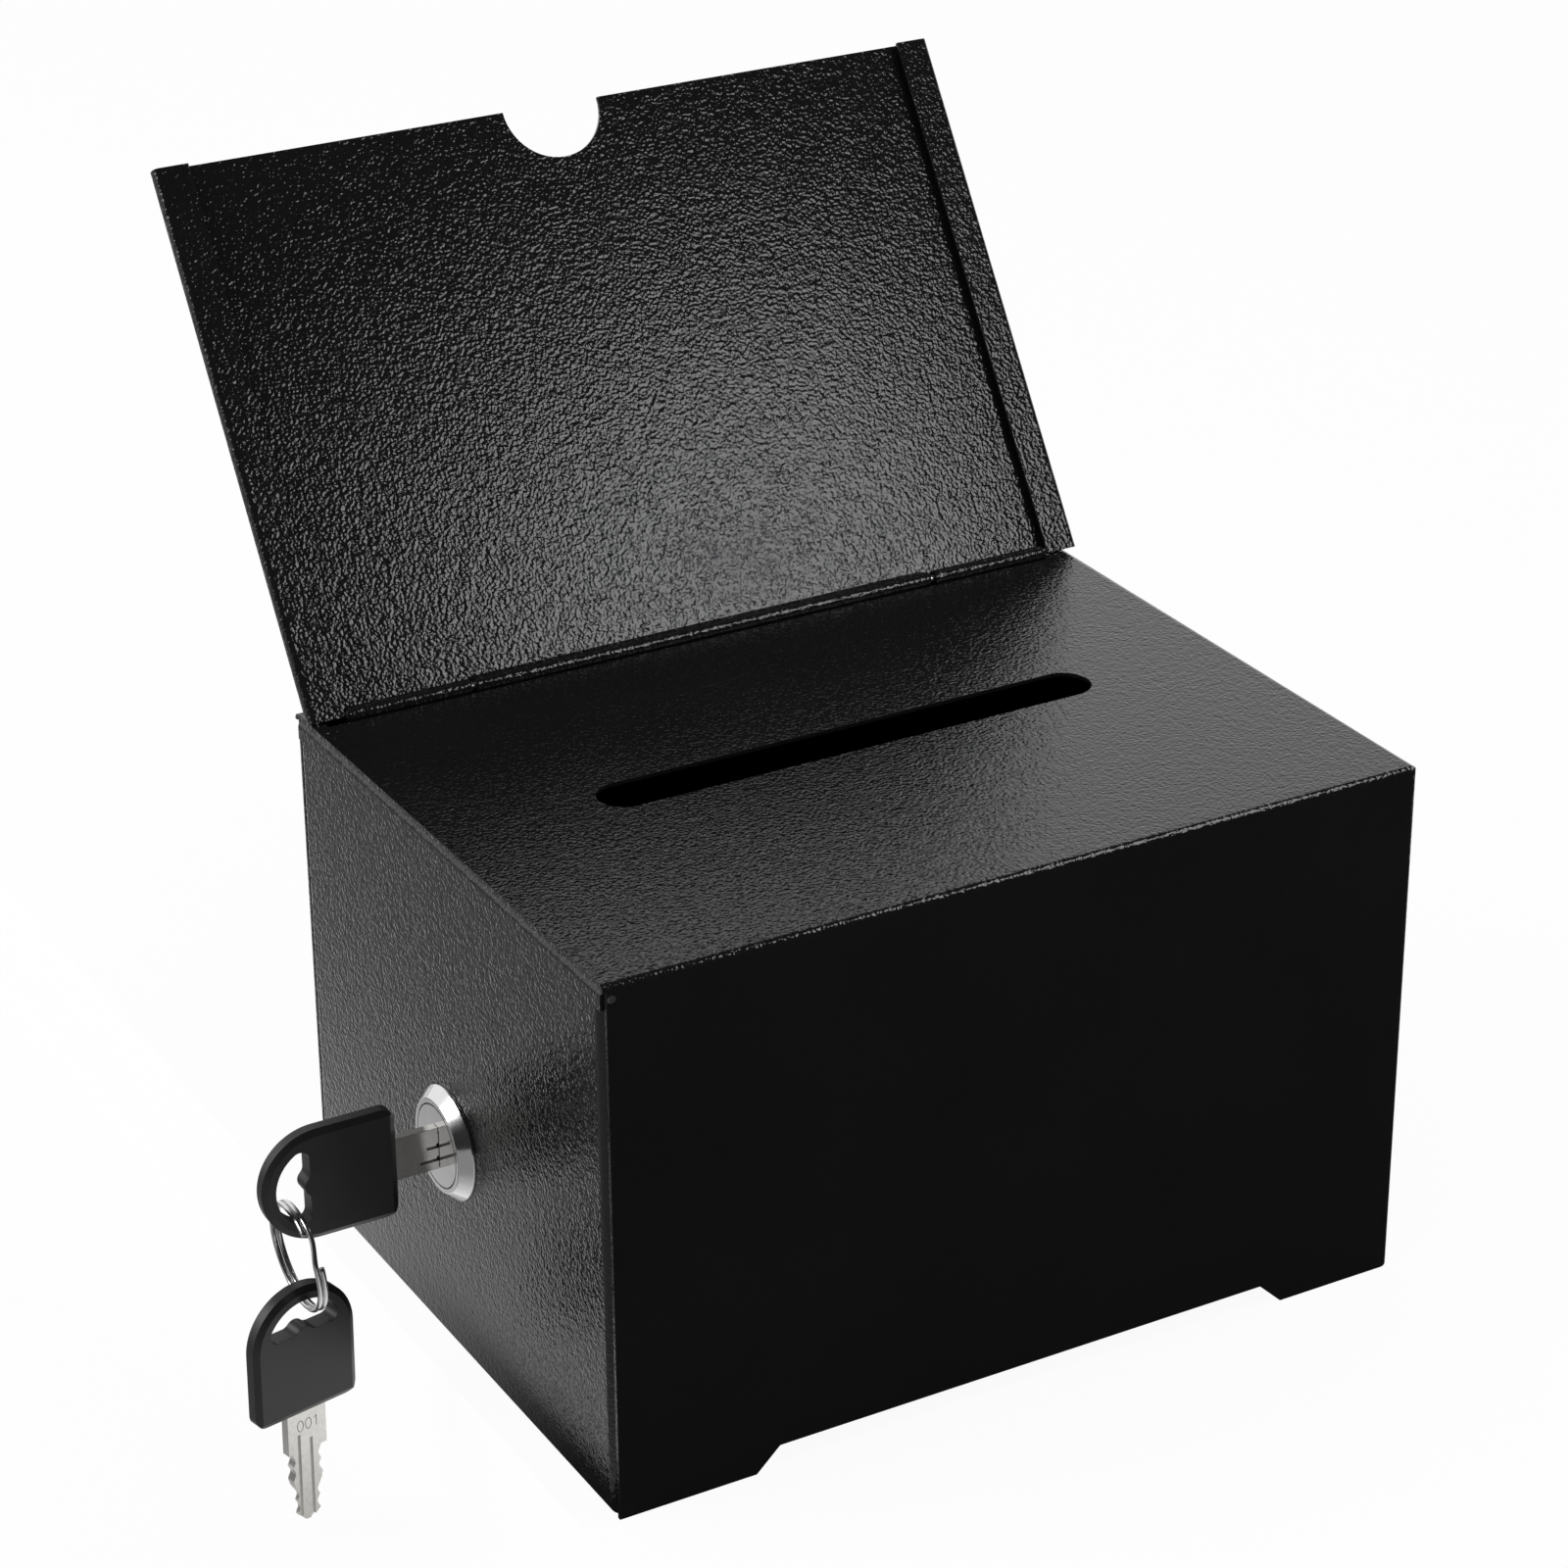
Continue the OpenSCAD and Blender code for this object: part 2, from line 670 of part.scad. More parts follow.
module lock_plug() {
  color([0.8, 0.7, 0.45]) at_lock() difference() {
    union() {
      rod_x(lock_face_x + cap_t, counter_x - counter_seat, plug_head_r);
      rod_x(lock_face_x + cap_t, barrel_end_x, plug_r);
      block([barrel_end_x - over, -tang_half, -tang_half], [tang_end_x, tang_half, tang_half]);
    }
    block([lock_face_x - over, -keyway_half_t, -keyway_half_w],
          [keyway_end_x, keyway_half_t, keyway_half_w]);
    for (i = [0 : wafer_count - 1]) translate([wafer_x(i), 0, 0]) {
      block([-wafer_slot_t / 2, -wafer_slot_half, -plug_r - over],
            [wafer_slot_t / 2, wafer_step_y, plug_r + over]);
      block([-wafer_slot_t / 2, -wafer_slot_half, spring_low_z],
            [wafer_slot_t / 2, wafer_slot_half, plug_r + over]);
      translate([0, spring_y, spring_low_z])
        cylinder(h = wafer_step_z - spring_low_z, r = spring_pocket_r);
    }
    rod_x(screw_x - cam_washer_t - screw_reach, tang_end_x + over, screw_r + screw_gap);
  }
}

module plug_cap() {
  color([0.85, 0.85, 0.85]) at_lock() difference() {
    union() {
      rod_x(lock_face_x, lock_face_x + cap_disc_t, plug_cap_r);
      rod_x(lock_face_x, counter_x - counter_seat, plug_skirt_r);
    }
    rod_x(lock_face_x + cap_t, counter_x + over, plug_head_r);
    block([lock_face_x - over, -cap_slot_half_t, -cap_slot_half_w],
          [lock_face_x + cap_t + over, cap_slot_half_t, cap_slot_half_w]);
  }
}

module wafers() {
  color([0.85, 0.7, 0.35]) at_lock() for (i = [0 : wafer_count - 1]) translate([wafer_x(i), 0, 0])
    difference() {
      intersection() {
        rod_x(-wafer_t / 2, wafer_t / 2, wafer_r);
        block([-wafer_t, -wafer_half, -lock_body_r], [wafer_t, wafer_half, lock_body_r]);
      }
      block([-wafer_t, -wafer_window_t, -wafer_window_w], [wafer_t, wafer_window_t, wafer_window_w]);
      block([-wafer_t, wafer_step_y - hole_gap, -lock_body_r], [wafer_t, lock_body_r, wafer_step_z]);
    }
}

spring_angles = [for (i = [0 : spring_turns * spring_steps]) 360 * i / spring_steps];
spring_heights = [for (a = spring_angles) spring_rise * a / 360];

module wafer_springs() {
  color([0.8, 0.8, 0.8]) at_lock() for (i = [0 : wafer_count - 1])
    translate([wafer_x(i), spring_y, spring_low_z + spring_wire_r + spring_end_gap])
      wire(spring_angles, spring_heights, spring_r, spring_wire_r);
}

module stop_washer() {
  color([0.75, 0.75, 0.75]) at_lock() difference() {
    union() {
      rod_x(stop_x, stop_x + stop_t, stop_disc_r);
      block([stop_x, 0, -stop_tab_w / 2], [stop_x + stop_t, stop_tab_r, stop_tab_w / 2]);
    }
    block([stop_x - over, -tang_hole_half, -tang_hole_half],
          [stop_x + stop_t + over, tang_hole_half, tang_hole_half]);
  }
}

module cam() {
  color([0.75, 0.75, 0.75]) at_lock() difference() {
    along_x(cam_x, cam_x + cam_t) union() {
      circle(r = cam_w / 2);
      translate([-cam_reach + cam_tip_round, -cam_w / 2]) square([cam_reach - cam_tip_round, cam_w]);
      translate([-cam_reach, -cam_w / 2 + cam_tip_round])
        square([cam_tip_round, cam_w - 2 * cam_tip_round]);
      for (s = [-1, 1]) translate([-cam_reach + cam_tip_round, s * (cam_w / 2 - cam_tip_round)])
        circle(r = cam_tip_round);
    }
    block([cam_x - over, -tang_hole_half, -tang_hole_half],
          [cam_x + cam_t + over, tang_hole_half, tang_hole_half]);
  }
}

module cam_washer() {
  color([0.75, 0.75, 0.75]) at_lock() difference() {
    rod_x(cam_washer_x, cam_washer_x + cam_washer_t, cam_washer_r);
    rod_x(cam_washer_x - over, cam_washer_x + cam_washer_t + over, screw_r + hole_gap);
  }
}

module cam_screw() {
  color([0.75, 0.75, 0.75]) at_lock() difference() {
    union() {
      rod_x(cam_washer_x - screw_reach + screw_gap, screw_x + screw_head_t, screw_r);
      rod_x(screw_x, screw_x + screw_head_t, screw_head_r);
    }
    for (a = [0, 90]) rotate([a, 0, 0])
      block([screw_x + screw_head_t - screw_slot_d, -screw_slot_w / 2, -screw_head_r / 2],
            [screw_x + screw_head_t + over, screw_slot_w / 2, screw_head_r / 2]);
  }
}

// Keys, drawn with the blade along X from the neck's stop at zero and the width along Z

module blade_outline() {
  translate([-key_neck_l - key_tang_l, -key_neck_w / 2])
    square([key_neck_l + key_tang_l, key_neck_w]);
  difference() {
    polygon([[-over, -key_blade_w / 2], [key_blade_l - tip_run, -key_blade_w / 2],
             [key_blade_l, -key_blade_w / 2 + tip_drop],
             [key_blade_l, key_blade_w / 2 - tip_drop - tip_skew],
             [key_blade_l - tip_run, key_blade_w / 2], [-over, key_blade_w / 2]]);
    for (i = [0 : len(cut_shares) - 1]) {
      translate([cut_first + i * cut_pitch, key_blade_w / 2]) bitting(cut_shares[i] * cut_max);
      translate([cut_first + i * cut_pitch, -key_blade_w / 2]) mirror([0, 1])
        bitting(low_cut_shares[i] * cut_max);
    }
  }
}

module bitting(depth) {
  spread = cut_flat / 2 + cut_slope * (depth + over);
  polygon([[-cut_flat / 2, -depth], [cut_flat / 2, -depth], [spread, over], [-spread, over]]);
}

module blade() {
  difference() {
    along_y(-key_t / 2, key_t / 2) blade_outline();
    for (s = [0, 1]) mirror([0, s, 0]) for (i = [0, 1])
      translate([-groove_start - i * groove_step, -key_t / 2 - over, groove_at_shares[i] * key_blade_w])
        cube([key_blade_l + groove_start + groove_step + over, over + groove_d, groove_w]);
  }
}

// Corners of the key head's outline: a round far end and a square end towards the blade
module head_outline() {
  square_x = -key_neck_l;
  union() {
    translate([-key_centre, 0]) circle(r = key_round_r);
    translate([-key_centre, -key_round_r])
      square([key_centre + square_x - key_corner_r, key_head_w]);
    translate([-key_centre, -key_round_r + key_corner_r])
      square([key_centre + square_x, key_head_w - 2 * key_corner_r]);
    for (s = [-1, 1]) translate([square_x - key_corner_r, s * (key_round_r - key_corner_r)])
      circle(r = key_corner_r);
  }
}

// Wide hole near the round end, its inner side wavy, drawn with U across and V towards the round end
module hole_outline() {
  end_a = atan2(hole_base + hole_end_r, hole_end_w);
  far = 2 * hole_r;
  // Place of the bump's middle, and where its two fillets meet it and the base
  bump_v = hole_base + hole_bump_rise - hole_bump_r;
  fillet_v = hole_base + hole_fillet_r;
  fillet_u = sqrt(pow(hole_bump_r + hole_fillet_r, 2) - pow(fillet_v - bump_v, 2));
  meet = hole_bump_r / (hole_bump_r + hole_fillet_r);
  meet_v = bump_v + meet * (fillet_v - bump_v);
  translate([-key_centre, 0]) rotate(90) difference() {
    union() {
      intersection() {
        circle(r = hole_r);
        polygon([[-hole_end_w, hole_base], [hole_end_w, hole_base],
                 [hole_end_w, hole_base + hole_end_r], far * [cos(end_a), sin(end_a)],
                 [far, far], [-far, far], far * [-cos(end_a), sin(end_a)],
                 [-hole_end_w, hole_base + hole_end_r]]);
      }
      for (s = [-1, 1]) translate([s * hole_end_w, hole_base + hole_end_r]) circle(r = hole_end_r);
    }
    difference() {
      union() {
        translate([0, bump_v]) circle(r = hole_bump_r);
        polygon([[-fillet_u, hole_base - over], [fillet_u, hole_base - over], [fillet_u, hole_base],
                 [meet * fillet_u, meet_v], [-meet * fillet_u, meet_v], [-fillet_u, hole_base]]);
      }
      for (s = [-1, 1]) translate([s * fillet_u, fillet_v]) circle(r = hole_fillet_r);
    }
  }
}

// Half section of the head with bevelled edges, from the middle plane outward
module bevel_section(a0, a1, bevel_low, bevel_high) {
  half_t = key_head_t / 2;
  polygon([[a0 + bevel_low, -half_t], [a1 - bevel_high, -half_t], [a1, -half_t + key_bevel_t],
           [a1, half_t - key_bevel_t], [a1 - bevel_high, half_t], [a0 + bevel_low, half_t],
           [a0, half_t - key_bevel_t], [a0, -half_t + key_bevel_t]]);
}

module head() {
  half_t = key_head_t / 2;
  difference() {
    intersection() {
      along_y(-half_t, half_t) head_outline();
      // Bevels of the long sides
      translate([-key_centre - key_head_w, 0, 0]) rotate([0, 90, 0]) rotate([0, 0, 90])
        mirror([0, 1, 0]) linear_extrude(key_centre + key_head_w)
          rotate(90) mirror([0, 1]) bevel_section(-key_round_r, key_round_r, key_bevel, key_bevel);
      // Bevel of the square end
      translate([0, 0, -key_head_w]) linear_extrude(2 * key_head_w)
        bevel_section(-key_centre - key_head_w, -key_neck_l, key_bevel, key_bevel);
      // Bevel of the round end
      union() {
        translate([-key_centre, 0, 0]) rotate([90, 0, 0]) rotate_extrude()
          polygon([[0, -half_t], [key_round_r - key_bevel, -half_t], [key_round_r, -half_t + key_bevel_t],
                   [key_round_r, half_t - key_bevel_t], [key_round_r - key_bevel, half_t], [0, half_t]]);
        block([-key_centre, -half_t - over, -key_head_w], [0, half_t + over, key_head_w]);
      }
    }
    along_y(-half_t - over, half_t + over) hole_outline();
    block([-key_neck_l - key_tang_l, -key_t / 2, -key_neck_w / 2],
          [-key_neck_l + over, key_t / 2, key_neck_w / 2]);
  }
}

module in_lock() {
  translate([key_stop_x, lock_y, lock_z]) children();
}

module hanging() {
  translate(ring_low) rotate([0, 0, spare_yaw]) rotate([0, 90 + spare_lean, 0])
    translate(-spare_hang) children();
}

module key_blade() {
  color([0.75, 0.73, 0.68]) in_lock() blade();
}

module key_head() {
  color([0.05, 0.05, 0.05]) in_lock() head();
}

module spare_key_blade() {
  color([0.75, 0.73, 0.68]) hanging() blade();
}

module spare_key_head() {
  color([0.05, 0.05, 0.05]) hanging() head();
}

// Split ring: two flat turns and one short crossing between its two ends
ring_sweep = 360 * ring_turns - 2 * ring_gap_half;
ring_count = round(ring_sweep * ring_steps / 360);
ring_angles = [for (i = [0 : ring_count]) ring_gap_mid + ring_gap_half + ring_sweep * i / ring_count];
function crossing(a) =
  let (t = min(1, max(0, (a - ring_gap_mid - 360 + ring_gap_half) / (2 * ring_gap_half))))
  t * t * (3 - 2 * t);
ring_heights = [for (a = ring_angles) ring_pitch * (crossing(a) - 1 / 2)];

module split_ring() {
  color([0.8, 0.8, 0.8]) translate(ring_top) rotate([0, -ring_tilt, 0]) translate([0, 0, -ring_r])
    rotate([0, 90, 0]) rotate([0, 0, 90]) mirror([1, 0, 0])
      wire(ring_angles, ring_heights, ring_r, ring_wire_r);
}

echo("gap between the ring's turns", self_gap(ring_angles, ring_heights, ring_r, ring_wire_r));
echo("gap between the springs' turns", self_gap(spring_angles, spring_heights, spring_r, spring_wire_r));

body_shell();
bottom_plate();
strike_bracket();
door_hinge_pin();
header_hinge_leaf();
header_hinge_pin();
header_panel();
door_panel();
lock_body();
lock_trim_cap();
lock_washer();
lock_nut();
lock_plug();
plug_cap();
wafers();
wafer_springs();
stop_washer();
cam();
cam_washer();
cam_screw();
key_blade();
key_head();
split_ring();
spare_key_blade();
spare_key_head();
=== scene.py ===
"""Looks of a small black suggestion box: powder-coated sheet steel, a bright cam lock and two keys."""

import json
import math

import bmesh
import bpy
from mathutils import Matrix, Vector


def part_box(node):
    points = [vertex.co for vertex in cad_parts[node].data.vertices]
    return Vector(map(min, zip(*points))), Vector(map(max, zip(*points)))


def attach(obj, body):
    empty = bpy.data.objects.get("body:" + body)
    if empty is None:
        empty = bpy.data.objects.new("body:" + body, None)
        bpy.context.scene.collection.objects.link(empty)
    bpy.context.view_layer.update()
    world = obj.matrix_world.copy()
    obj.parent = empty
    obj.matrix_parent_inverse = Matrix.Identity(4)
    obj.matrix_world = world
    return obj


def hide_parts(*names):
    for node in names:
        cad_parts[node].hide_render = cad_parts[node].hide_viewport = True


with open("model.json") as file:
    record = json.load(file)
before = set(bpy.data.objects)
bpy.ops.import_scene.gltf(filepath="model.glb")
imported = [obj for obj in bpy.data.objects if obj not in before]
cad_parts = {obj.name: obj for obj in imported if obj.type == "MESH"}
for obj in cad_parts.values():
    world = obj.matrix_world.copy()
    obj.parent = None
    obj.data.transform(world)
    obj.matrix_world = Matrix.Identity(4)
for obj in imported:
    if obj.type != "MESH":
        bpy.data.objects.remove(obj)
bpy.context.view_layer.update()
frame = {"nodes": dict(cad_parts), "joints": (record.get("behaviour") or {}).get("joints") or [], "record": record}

MM = 0.001
NODES = frame["nodes"]
BODY_OF = {node: body for body, nodes in frame["record"]["behaviour"]["bodies"].items() for node in nodes}

# Camera: where the photograph was taken from. Azimuth 0 looks along +Y; angles are in degrees.
CAMERA_AT = Vector((-352.14, -600.23, 430.76)) * MM
CAMERA_AZIMUTH = -29.44
CAMERA_ELEVATION = 25.91
CAMERA_ROLL = -0.38
CAMERA_LENS = 100.4
CAMERA_NEAR = 0.02
CAMERA_FAR = 20
SENSOR_WIDTH = 36.0

# Table under the box; it ends beside the door, so that the keys hang past its edge
TABLE_EDGE = -86 * MM
TABLE_REACH = 1500 * MM
LOWER_FLOOR = -27 * MM
TABLE_FADE = (0.2 * LOWER_FLOOR, 0.1 * LOWER_FLOOR)
TABLE_SPECK = 25 * MM
TABLE_TONES = (0.80, 0.82)

# How bright the floors look: to the camera, and in the faces that mirror them, where the floor glows with painted
# light and shade
CAMERA_WHITE = 0.94
SIDE_PAINTED_LIGHT = 1.05
SIDE_PAINTED_DIM = 0.27
SIDE_REACH = 84 * MM
FRONT_PAINTED_SHADE = 0.015
FRONT_TO_BACK = (-50 * MM, 80 * MM)

# How bright the studio round the box is: mirrored at the back and front, and for matt faces.
# The two ranges are of a direction's y and z.
WORLD_BACK = 1.0
WORLD_FRONT = 0.024
WORLD_MATT = 0.776
WORLD_TURN = (-0.25, 0.45)
WORLD_HEIGHT = (0.85, 0.5)

# Powder coat: the waves are measured from ridge to ridge on the photograph
COAT_WAVE = 0.64 * MM
COAT_SWELL = 1.7 * MM
COAT_SWELL_SHARE = 0.5
COAT_DRIFT = 0.5 * MM
COAT_DRIFT_SIZE = 1.6 * MM
COAT_PATCH = 28 * MM
COAT_DEPTH = 0.15 * MM

# Edges: angle above which an edge is eased, and the usual widths of the easing
EDGE_ANGLE = math.radians(30)
FLAT_ANGLE = math.radians(0.4)
WELD_DISTANCE = 0.0005 * MM
SHEET_EASE = 0.16 * MM
KEY_EASE = 0.07 * MM
HEAD_EASE = 0.3 * MM

# Split ring: wire, its two turns, and where its ends lie, in degrees round it
RING_RADIUS = 9.7 * MM
RING_WIRE = 0.475 * MM
RING_SPACE = 0.05 * MM
RING_TILT = math.radians(5)
RING_GAP_MIDDLE = 33
RING_GAP_HALF = 18
RING_STEPS = 96
RING_SIDES = 16

# Hanging key: how it hangs, and where its eye is, seen from the shoulder of its blade
SPARE_YAW = math.radians(12)
SPARE_LEAN = math.radians(1)
SPARE_EYE = Vector((-29.201, 0, 1.621)) * MM
KEY_HALF_THICK = 0.9 * MM

# Number on its neck. Tall and wide are half sizes; the flag of the 1 is in shares of them.
DIGIT_STROKE = 0.12 * MM
DIGIT_SINK = 0.09 * MM
DIGIT_SIDES = 8
DIGIT_MIDDLE = -5.3 * MM
DIGIT_TALL = 1.1 * MM
DIGIT_WIDE = 0.62 * MM
ZERO_PLACES = (-1.4 * MM, 0.3 * MM)
ZERO_OPEN = 3
ZERO_STEPS = 28
ONE_PLACE = 2.0 * MM
ONE_FLAG = ((0.55, 0.75), (0.9, 0.2))


# Shader values

class Value:
    """One output of a shader node; sums and products on it add their Math nodes."""

    def __init__(self, finish, socket):
        self.finish = finish
        self.socket = socket

    def math(self, operation, other):
        return self.finish.node("ShaderNodeMath", {0: self, 1: other}, operation=operation)

    def __add__(self, other): return self.math("ADD", other)
    def __radd__(self, other): return self.math("ADD", other)
    def __sub__(self, other): return self.math("SUBTRACT", other)
    def __mul__(self, other): return self.math("MULTIPLY", other)
    def __truediv__(self, other): return self.math("DIVIDE", other)
    def __pow__(self, other): return self.math("POWER", other)
    def at_least(self, other): return self.math("MAXIMUM", other)
    def at_most(self, other): return self.math("MINIMUM", other)

    def between(self, low, high):
        """low where this value is 0, high where it is 1."""
        return low + self * (high - low)

    def step(self, low, high):
        """0 at low, 1 at high, smooth between."""
        return self.finish.node("ShaderNodeMapRange", {"Value": self, "From Min": low, "From Max": high},
                                interpolation_type="SMOOTHSTEP")

    def part(self, name):
        """Another output of the same node, such as the Y of a Separate XYZ."""
        return Value(self.finish, self.socket.node.outputs[name])


class Finish:
    """The nodes of a material, or of the world, under construction."""

    def __init__(self, owner, place="Object"):
        owner.use_nodes = True
        self.owner = owner
        self.tree = owner.node_tree
        self.tree.nodes.clear()
        self.place = self.node("ShaderNodeTexCoord", out=place)

    def node(self, kind, inputs=None, out=0, **settings):
        made = self.tree.nodes.new(kind)
        for key, value in settings.items():
            setattr(made, key, value)
        for key, value in (inputs or {}).items():
            socket = made.inputs[key]
            if isinstance(value, Value):
                self.tree.links.new(value.socket, socket)
            else:
                socket.default_value = value
        return Value(self, made.outputs[out]) if made.outputs else None

    def noise(self, size, detail=2.0, rough=0.5, place=None):
        """Cloudy value from 0 to 1 whose features are about size metres across."""
        return self.node("ShaderNodeTexNoise", {"Vector": place or self.place, "Scale": 1 / size,
                                                "Detail": detail, "Roughness": rough})

    def stretched(self, scale):
        """The piece's place, scaled along its axes."""
        return self.node("ShaderNodeMapping", {"Vector": self.place, "Scale": scale})

    def xyz(self):
        parts = self.node("ShaderNodeSeparateXYZ", {0: self.place})
        return parts, parts.part("Y"), parts.part("Z")

    def tint(self, amount, dark, light):
        """A colour between dark and light; 6, 7 and 2 are the Mix node's sockets for colours."""
        return self.node("ShaderNodeMix", {"Factor": amount, 6: (*dark, 1), 7: (*light, 1)}, out=2,
                         data_type="RGBA")

    def bump(self, height, depth):
        return self.node("ShaderNodeBump", {"Height": height, "Distance": depth})

    def mixed(self, share, first, second):
        return self.node("ShaderNodeMixShader", {0: share, 1: first, 2: second})

    def surface(self, **inputs):
        """Ends the material with one shader; names use _ for the spaces in the sockets' names."""
        named = {key.replace("_", " "): value for key, value in inputs.items()}
        shader = self.node("ShaderNodeBsdfPrincipled", named)
        self.node("ShaderNodeOutputMaterial", {"Surface": shader})
        return self.owner


def in_mirrors(rays):
    """1 for what polished faces and glass show, else 0."""
    return rays.part("Is Glossy Ray").at_least(rays.part("Is Transmission Ray"))


# Finishes

def powder_coat():
    """Black powder coat with a fine glossy orange peel: low rounded waves well under a millimetre apart."""
    f = Finish(bpy.data.materials.new("black wrinkle powder coat"))
    push = f.noise(COAT_DRIFT_SIZE, detail=1).part("Color")
    drift = f.node("ShaderNodeVectorMath", {0: push, 1: (COAT_DRIFT,) * 3, 2: f.place},
                   operation="MULTIPLY_ADD")
    waves = f.noise(COAT_WAVE, detail=0.8, rough=0.45, place=drift)
    swell = f.noise(COAT_SWELL, detail=1)
    patches = f.noise(COAT_PATCH, detail=3)
    color = f.tint(patches * 0.5 + waves * 0.5,
                   dark=(0.0035, 0.0035, 0.0037), light=(0.0075, 0.0075, 0.0078))
    return f.surface(Base_Color=color, Roughness=patches.between(0.085, 0.125), IOR=1.5,
                     Normal=f.bump(waves + swell * COAT_SWELL_SHARE, COAT_DEPTH))


def zinc_plate():
    """Bright zinc plate with faint cloudy patches and fine scratches."""
    f = Finish(bpy.data.materials.new("bright zinc plate"))
    clouds = f.noise(4 * MM, detail=3)
    scratches = f.noise(0.5 * MM, detail=3, place=f.stretched((1, 12, 1)))
    color = f.tint(clouds, dark=(0.50, 0.50, 0.48), light=(0.68, 0.68, 0.66))
    return f.surface(Base_Color=color, Metallic=1.0, Roughness=scratches.between(0.22, 0.38),
                     Normal=f.bump(scratches, 0.012 * MM))


def bright_trim():
    """Polished plate on the lock's face, turned very finely about the lock's axis."""
    f = Finish(bpy.data.materials.new("polished lock trim"))
    x, y, z = f.xyz()
    lock_low, lock_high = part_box("lock_trim_cap")
    middle = (lock_low + lock_high) / 2
    away = ((y - middle.y) ** 2 + (z - middle.z) ** 2) ** 0.5
    rings = f.node("ShaderNodeTexNoise", {"W": away, "Scale": 1 / (0.12 * MM), "Detail": 1},
                   noise_dimensions="1D")
    smears = f.noise(3 * MM, detail=3)
    color = f.tint(smears, dark=(0.70, 0.70, 0.70), light=(0.84, 0.84, 0.85))
    return f.surface(Base_Color=color, Metallic=1.0, Roughness=smears.between(0.09, 0.17),
                     Normal=f.bump(rings, 0.002 * MM))


def lock_brass():
    """Turned brass inside the lock."""
    f = Finish(bpy.data.materials.new("machined lock brass"))
    clouds = f.noise(2 * MM, detail=3)
    lines = f.noise(0.2 * MM, detail=2, place=f.stretched((10, 1, 1)))
    color = f.tint(clouds, dark=(0.50, 0.36, 0.16), light=(0.72, 0.56, 0.28))
    return f.surface(Base_Color=color, Metallic=1.0, Roughness=lines.between(0.24, 0.38),
                     Normal=f.bump(lines, 0.006 * MM))


def spring_wire():
    """Bright drawn wire with faint smears."""
    f = Finish(bpy.data.materials.new("nickel-plated spring wire"))
    smears = f.noise(1.5 * MM, detail=3)
    color = f.tint(smears, dark=(0.60, 0.60, 0.60), light=(0.80, 0.80, 0.80))
    return f.surface(Base_Color=color, Metallic=1.0, Roughness=smears.between(0.12, 0.22),
                     Normal=f.bump(smears, 0.01 * MM))


def key_metal():
    """Nickel-plated key blank with a fine tumbled grain and a few nicks."""
    f = Finish(bpy.data.materials.new("milled key blade"))
    strokes = f.noise(0.35 * MM, detail=3, rough=0.6)
    nicks = f.noise(0.9 * MM, detail=4, rough=0.7)
    color = f.tint(nicks, dark=(0.50, 0.49, 0.47), light=(0.76, 0.75, 0.72))
    return f.surface(Base_Color=color, Metallic=1.0, Roughness=strokes.between(0.1, 0.22),
                     Normal=f.bump(strokes * 0.6 + nicks * 0.4, 0.012 * MM))


def stamped_groove_shade():
    """Painted shade of the stamped grooves of the key's number: dark metal, speckled at random."""
    f = Finish(bpy.data.materials.new("stamped strokes"))
    groove_shade_speckle = f.noise(0.3 * MM, detail=3)
    # Painted shade: the dark tone stands in for the shade inside the stamped grooves; the speckle varies it at
    # random.
    color = f.tint(groove_shade_speckle, dark=(0.05, 0.05, 0.05), light=(0.16, 0.155, 0.15))
    return f.surface(Base_Color=color, Metallic=1.0, Roughness=groove_shade_speckle.between(0.45, 0.65))


def key_plastic():
    """Satin black moulding with a very fine spark-eroded grain and a few rubbed patches."""
    f = Finish(bpy.data.materials.new("moulded key head"))
    grain = f.noise(0.22 * MM)
    rubs = f.noise(6 * MM, detail=4, rough=0.6)
    color = f.tint(rubs, dark=(0.006, 0.006, 0.006), light=(0.014, 0.014, 0.0145))
    return f.surface(Base_Color=color, Roughness=rubs.between(0.32, 0.46), IOR=1.5,
                     Normal=f.bump(grain, 0.014 * MM))


# Camera, floor and light

def link(thing):
    bpy.context.scene.collection.objects.link(thing)
    return thing


def make_camera():
    data = bpy.data.cameras.new("camera")
    data.lens = CAMERA_LENS
    data.sensor_width = SENSOR_WIDTH
    data.clip_start = CAMERA_NEAR
    data.clip_end = CAMERA_FAR
    camera = link(bpy.data.objects.new("camera", data))
    camera.location = CAMERA_AT
    turn = Matrix.Rotation(math.radians(CAMERA_AZIMUTH), 3, "Z")
    tilt = Matrix.Rotation(math.radians(90 - CAMERA_ELEVATION), 3, "X")
    roll = Matrix.Rotation(math.radians(CAMERA_ROLL), 3, "Z")
    camera.rotation_mode = "QUATERNION"
    camera.rotation_quaternion = (turn @ tilt @ roll).to_quaternion()
    bpy.context.scene.camera = camera


def make_world():
    """White for the camera, even for matt faces; polished faces mirror a bright back and a dark front."""
    world = bpy.data.worlds.new("studio")
    bpy.context.scene.world = world
    f = Finish(world, place="Generated")
    x, y, z = f.xyz()
    mirrored = (y.step(*WORLD_TURN) * z.step(*WORLD_HEIGHT)).between(WORLD_FRONT, WORLD_BACK)
    rays = f.node("ShaderNodeLightPath")
    plain = rays.part("Is Camera Ray").between(WORLD_MATT, 1)
    strength = in_mirrors(rays).between(plain, mirrored)
    shade = f.node("ShaderNodeBackground", {"Color": (1, 1, 1, 1), "Strength": strength})
    f.node("ShaderNodeOutputWorld", {"Surface": shade})


